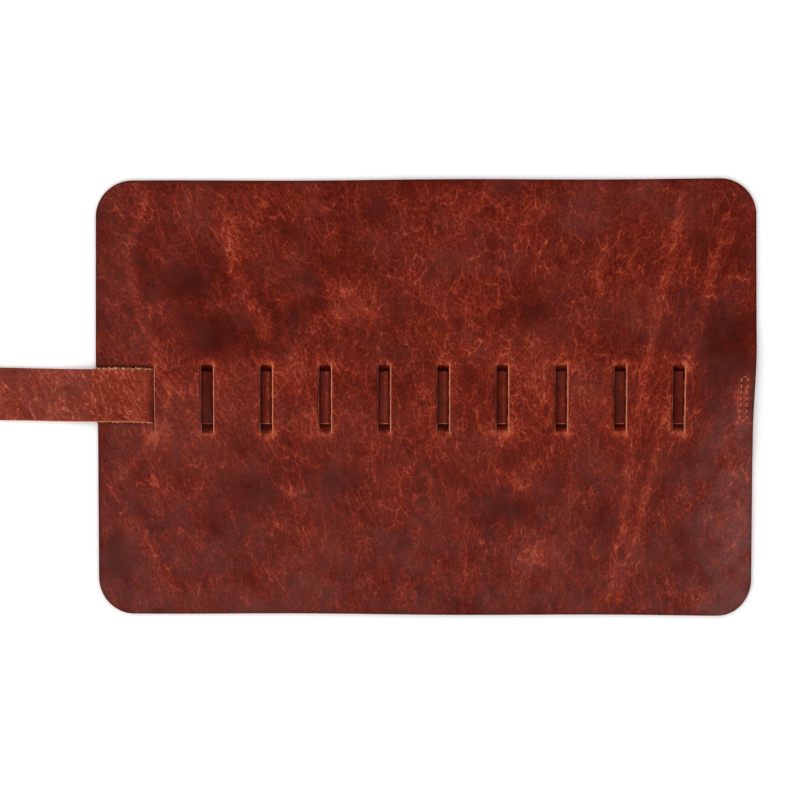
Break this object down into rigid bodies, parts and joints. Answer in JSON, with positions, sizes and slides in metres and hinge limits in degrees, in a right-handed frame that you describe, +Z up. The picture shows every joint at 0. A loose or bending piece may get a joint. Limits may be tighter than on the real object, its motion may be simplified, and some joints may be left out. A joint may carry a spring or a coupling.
{
  "type": "leather pencil roll",
  "caption": "Rounded leather sheet with pairs of slits, through which a long strap is woven to form pencil loops; the strap is stitched at one end and wraps round the closed roll.",
  "frame": {"origin": "on the surface that the open roll lies on, in the middle of its whole length from the strap's free end to the sewn end, and in the middle of its width", "axes": "+X along the strap towards the sewn end of the sheet, +Z up out of the grain side, +Y across the sheet"},
  "size_m": [0.6022, 0.2032, 0.0057],
  "materials": {
    "sheet_leather": "waxed pull-up leather, dark red-brown with lighter creases",
    "strap_leather": "waxed pull-up leather, chestnut brown with lighter creases",
    "thread": "waxed orange-tan sewing thread"
  },
  "bodies": {
    "strap_tail": {"strap_tail": "strap_leather"},
    "strap_bend_1": {"strap_bend_1": "strap_leather"},
    "strap_bend_2": {"strap_bend_2": "strap_leather"},
    "strap_bend_3": {"strap_bend_3": "strap_leather"},
    "strap_bend_4": {"strap_bend_4": "strap_leather"},
    "strap_wrap_1": {"strap_wrap_1": "strap_leather"},
    "strap_wrap_2": {"strap_wrap_2": "strap_leather"},
    "strap_wrap_3": {"strap_wrap_3": "strap_leather"},
    "strap_wrap_4": {"strap_wrap_4": "strap_leather"},
    "strap_wrap_5": {"strap_wrap_5": "strap_leather"},
    "strap_wrap_6": {"strap_wrap_6": "strap_leather"},
    "strap_wrap_7": {"strap_wrap_7": "strap_leather"},
    "strap_wrap_8": {"strap_wrap_8": "strap_leather"},
    "strap_wrap_9": {"strap_wrap_9": "strap_leather"},
    "left_edge": {"strap_left_edge": "strap_leather", "panel_left_edge": "sheet_leather"},
    "entry": {"strap_entry": "strap_leather", "panel_entry": "sheet_leather"},
    "loop_1": {"strap_loop_1": "strap_leather", "panel_loop_1": "sheet_leather"},
    "slit_1": {"strap_slit_1": "strap_leather", "panel_slit_1": "sheet_leather"},
    "loop_2": {"strap_loop_2": "strap_leather", "panel_loop_2": "sheet_leather"},
    "slit_2": {"strap_slit_2": "strap_leather", "panel_slit_2": "sheet_leather"},
    "loop_3": {"strap_loop_3": "strap_leather", "panel_loop_3": "sheet_leather"},
    "slit_3": {"strap_slit_3": "strap_leather", "panel_slit_3": "sheet_leather"},
    "loop_4": {"strap_loop_4": "strap_leather", "panel_loop_4": "sheet_leather"},
    "slit_4": {"strap_slit_4": "strap_leather", "panel_slit_4": "sheet_leather"},
    "loop_5": {"strap_loop_5": "strap_leather", "panel_loop_5": "sheet_leather"},
    "slit_5": {"strap_slit_5": "strap_leather", "panel_slit_5": "sheet_leather"},
    "loop_6": {"strap_loop_6": "strap_leather", "panel_loop_6": "sheet_leather"},
    "slit_6": {"strap_slit_6": "strap_leather", "panel_slit_6": "sheet_leather"},
    "loop_7": {"strap_loop_7": "strap_leather", "panel_loop_7": "sheet_leather"},
    "slit_7": {"strap_slit_7": "strap_leather", "panel_slit_7": "sheet_leather"},
    "loop_8": {"strap_loop_8": "strap_leather", "panel_loop_8": "sheet_leather"},
    "slit_8": {"strap_slit_8": "strap_leather", "panel_slit_8": "sheet_leather"},
    "loop_9": {"strap_loop_9": "strap_leather", "panel_loop_9": "sheet_leather"},
    "slit_9": {"strap_slit_9": "strap_leather", "panel_slit_9": "sheet_leather"},
    "loop_10": {"strap_loop_10": "strap_leather", "panel_loop_10": "sheet_leather"},
    "right_end": {"strap_right_end": "strap_leather", "panel_right_end": "sheet_leather", "box_stitch": "thread"}
  },
  "joints": [
    {"name": "roll_up", "type": "hinge", "parent": "strap_tail", "child": "strap_bend_1", "pos_m": [-0.23515, 0, 0.0009], "axis": [0, -1, 0], "range_deg": [0, 22.5]},
    {"name": "bend_at_strap_bend_2", "type": "hinge", "parent": "strap_bend_1", "child": "strap_bend_2", "pos_m": [-0.22065, 0, 0.0009], "axis": [0, -1, 0], "range_deg": [0, 22.52]},
    {"name": "bend_at_strap_bend_3", "type": "hinge", "parent": "strap_bend_2", "child": "strap_bend_3", "pos_m": [-0.20615, 0, 0.0009], "axis": [0, -1, 0], "range_deg": [0, 22.52]},
    {"name": "bend_at_strap_bend_4", "type": "hinge", "parent": "strap_bend_3", "child": "strap_bend_4", "pos_m": [-0.19165, 0, 0.0009], "axis": [0, -1, 0], "range_deg": [0, 22.52]},
    {"name": "bend_at_strap_wrap_1", "type": "hinge", "parent": "strap_bend_4", "child": "strap_wrap_1", "pos_m": [-0.17715, 0, 0.0009], "axis": [0, 1, 0], "range_deg": [0, 23.73]},
    {"name": "bend_at_strap_wrap_2", "type": "hinge", "parent": "strap_wrap_1", "child": "strap_wrap_2", "pos_m": [-0.15855, 0, 0.0009], "axis": [0, 1, 0], "range_deg": [0, 27.05]},
    {"name": "bend_at_strap_wrap_3", "type": "hinge", "parent": "strap_wrap_2", "child": "strap_wrap_3", "pos_m": [-0.13995, 0, 0.0009], "axis": [0, 1, 0], "range_deg": [0, 27.49]},
    {"name": "bend_at_strap_wrap_4", "type": "hinge", "parent": "strap_wrap_3", "child": "strap_wrap_4", "pos_m": [-0.12135, 0, 0.0009], "axis": [0, 1, 0], "range_deg": [0, 27.96]},
    {"name": "bend_at_strap_wrap_5", "type": "hinge", "parent": "strap_wrap_4", "child": "strap_wrap_5", "pos_m": [-0.10275, 0, 0.0009], "axis": [0, 1, 0], "range_deg": [0, 28.45]},
    {"name": "bend_at_strap_wrap_6", "type": "hinge", "parent": "strap_wrap_5", "child": "strap_wrap_6", "pos_m": [-0.08415, 0, 0.0009], "axis": [0, 1, 0], "range_deg": [0, 28.97]},
    {"name": "bend_at_strap_wrap_7", "type": "hinge", "parent": "strap_wrap_6", "child": "strap_wrap_7", "pos_m": [-0.06555, 0, 0.0009], "axis": [0, 1, 0], "range_deg": [0, 29.51]},
    {"name": "bend_at_strap_wrap_8", "type": "hinge", "parent": "strap_wrap_7", "child": "strap_wrap_8", "pos_m": [-0.04695, 0, 0.0009], "axis": [0, 1, 0], "range_deg": [0, 30.09]},
    {"name": "bend_at_strap_wrap_9", "type": "hinge", "parent": "strap_wrap_8", "child": "strap_wrap_9", "pos_m": [-0.02835, 0, 0.0009], "axis": [0, 1, 0], "range_deg": [0, 30.71]},
    {"name": "bend_at_left_edge", "type": "hinge", "parent": "strap_wrap_9", "child": "left_edge", "pos_m": [-0.00975, 0, 0.003], "axis": [0, 1, 0], "range_deg": [0, 32.2]},
    {"name": "bend_at_entry", "type": "hinge", "parent": "left_edge", "child": "entry", "pos_m": [0.00985, 0, 0.0019], "axis": [0, 1, 0], "range_deg": [0, 31.91]},
    {"name": "bend_at_loop_1", "type": "hinge", "parent": "entry", "child": "loop_1", "pos_m": [0.02725, 0, 0.0019], "axis": [0, 1, 0], "range_deg": [0, 24.46]},
    {"name": "bend_at_slit_1", "type": "hinge", "parent": "loop_1", "child": "slit_1", "pos_m": [0.03756, 0, 0.0019], "axis": [0, 1, 0], "range_deg": [0, 21.64]},
    {"name": "bend_at_loop_2", "type": "hinge", "parent": "slit_1", "child": "loop_2", "pos_m": [0.05134, 0, 0.0019], "axis": [0, 1, 0], "range_deg": [0, 25.15]},
    {"name": "bend_at_slit_2", "type": "hinge", "parent": "loop_2", "child": "slit_2", "pos_m": [0.06511, 0, 0.0019], "axis": [0, 1, 0], "range_deg": [0, 25.64]},
    {"name": "bend_at_loop_3", "type": "hinge", "parent": "slit_2", "child": "loop_3", "pos_m": [0.07889, 0, 0.0019], "axis": [0, 1, 0], "range_deg": [0, 26.15]},
    {"name": "bend_at_slit_3", "type": "hinge", "parent": "loop_3", "child": "slit_3", "pos_m": [0.09266, 0, 0.0019], "axis": [0, 1, 0], "range_deg": [0, 26.69]},
    {"name": "bend_at_loop_4", "type": "hinge", "parent": "slit_3", "child": "loop_4", "pos_m": [0.10644, 0, 0.0019], "axis": [0, 1, 0], "range_deg": [0, 27.27]},
    {"name": "bend_at_slit_4", "type": "hinge", "parent": "loop_4", "child": "slit_4", "pos_m": [0.12021, 0, 0.0019], "axis": [0, 1, 0], "range_deg": [0, 27.89]},
    {"name": "bend_at_loop_5", "type": "hinge", "parent": "slit_4", "child": "loop_5", "pos_m": [0.13399, 0, 0.0019], "axis": [0, 1, 0], "range_deg": [0, 28.55]},
    {"name": "bend_at_slit_5", "type": "hinge", "parent": "loop_5", "child": "slit_5", "pos_m": [0.14776, 0, 0.0019], "axis": [0, 1, 0], "range_deg": [0, 29.27]},
    {"name": "bend_at_loop_6", "type": "hinge", "parent": "slit_5", "child": "loop_6", "pos_m": [0.16154, 0, 0.0019], "axis": [0, 1, 0], "range_deg": [0, 30.04]},
    {"name": "bend_at_slit_6", "type": "hinge", "parent": "loop_6", "child": "slit_6", "pos_m": [0.17531, 0, 0.0019], "axis": [0, 1, 0], "range_deg": [0, 30.87]},
    {"name": "bend_at_loop_7", "type": "hinge", "parent": "slit_6", "child": "loop_7", "pos_m": [0.18909, 0, 0.0019], "axis": [0, 1, 0], "range_deg": [0, 31.77]},
    {"name": "bend_at_slit_7", "type": "hinge", "parent": "loop_7", "child": "slit_7", "pos_m": [0.20286, 0, 0.0019], "axis": [0, 1, 0], "range_deg": [0, 32.76]},
    {"name": "bend_at_loop_8", "type": "hinge", "parent": "slit_7", "child": "loop_8", "pos_m": [0.21664, 0, 0.0019], "axis": [0, 1, 0], "range_deg": [0, 33.84]},
    {"name": "bend_at_slit_8", "type": "hinge", "parent": "loop_8", "child": "slit_8", "pos_m": [0.23041, 0, 0.0019], "axis": [0, 1, 0], "range_deg": [0, 35.04]},
    {"name": "bend_at_loop_9", "type": "hinge", "parent": "slit_8", "child": "loop_9", "pos_m": [0.24419, 0, 0.0019], "axis": [0, 1, 0], "range_deg": [0, 36.37]},
    {"name": "bend_at_slit_9", "type": "hinge", "parent": "loop_9", "child": "slit_9", "pos_m": [0.25796, 0, 0.0019], "axis": [0, 1, 0], "range_deg": [0, 37.87]},
    {"name": "bend_at_loop_10", "type": "hinge", "parent": "slit_9", "child": "loop_10", "pos_m": [0.27174, 0, 0.0019], "axis": [0, 1, 0], "range_deg": [0, 36.6]},
    {"name": "bend_at_right_end", "type": "hinge", "parent": "loop_10", "child": "right_end", "pos_m": [0.28345, 0, 0.0019], "axis": [0, 1, 0], "range_deg": [0, 44.14]}
  ],
  "couplings": [
    {"joint": "bend_at_strap_bend_2", "follows": "roll_up", "ratio": 1},
    {"joint": "bend_at_strap_bend_3", "follows": "roll_up", "ratio": 1},
    {"joint": "bend_at_strap_bend_4", "follows": "roll_up", "ratio": 1},
    {"joint": "bend_at_strap_wrap_1", "follows": "roll_up", "ratio": 1.0536},
    {"joint": "bend_at_strap_wrap_2", "follows": "roll_up", "ratio": 1.2009},
    {"joint": "bend_at_strap_wrap_3", "follows": "roll_up", "ratio": 1.2207},
    {"joint": "bend_at_strap_wrap_4", "follows": "roll_up", "ratio": 1.2414},
    {"joint": "bend_at_strap_wrap_5", "follows": "roll_up", "ratio": 1.2632},
    {"joint": "bend_at_strap_wrap_6", "follows": "roll_up", "ratio": 1.2863},
    {"joint": "bend_at_strap_wrap_7", "follows": "roll_up", "ratio": 1.3106},
    {"joint": "bend_at_strap_wrap_8", "follows": "roll_up", "ratio": 1.3363},
    {"joint": "bend_at_strap_wrap_9", "follows": "roll_up", "ratio": 1.3636},
    {"joint": "bend_at_left_edge", "follows": "roll_up", "ratio": 1.4301},
    {"joint": "bend_at_entry", "follows": "roll_up", "ratio": 1.4169},
    {"joint": "bend_at_loop_1", "follows": "roll_up", "ratio": 1.0858},
    {"joint": "bend_at_slit_1", "follows": "roll_up", "ratio": 0.9608},
    {"joint": "bend_at_loop_2", "follows": "roll_up", "ratio": 1.1168},
    {"joint": "bend_at_slit_2", "follows": "roll_up", "ratio": 1.1383},
    {"joint": "bend_at_loop_3", "follows": "roll_up", "ratio": 1.1611},
    {"joint": "bend_at_slit_3", "follows": "roll_up", "ratio": 1.1853},
    {"joint": "bend_at_loop_4", "follows": "roll_up", "ratio": 1.211},
    {"joint": "bend_at_slit_4", "follows": "roll_up", "ratio": 1.2385},
    {"joint": "bend_at_loop_5", "follows": "roll_up", "ratio": 1.268},
    {"joint": "bend_at_slit_5", "follows": "roll_up", "ratio": 1.2997},
    {"joint": "bend_at_loop_6", "follows": "roll_up", "ratio": 1.3338},
    {"joint": "bend_at_slit_6", "follows": "roll_up", "ratio": 1.3707},
    {"joint": "bend_at_loop_7", "follows": "roll_up", "ratio": 1.4108},
    {"joint": "bend_at_slit_7", "follows": "roll_up", "ratio": 1.4547},
    {"joint": "bend_at_loop_8", "follows": "roll_up", "ratio": 1.5029},
    {"joint": "bend_at_slit_8", "follows": "roll_up", "ratio": 1.5561},
    {"joint": "bend_at_loop_9", "follows": "roll_up", "ratio": 1.6153},
    {"joint": "bend_at_slit_9", "follows": "roll_up", "ratio": 1.6818},
    {"joint": "bend_at_loop_10", "follows": "roll_up", "ratio": 1.6255},
    {"joint": "bend_at_right_end", "follows": "roll_up", "ratio": 1.9607}
  ]
}
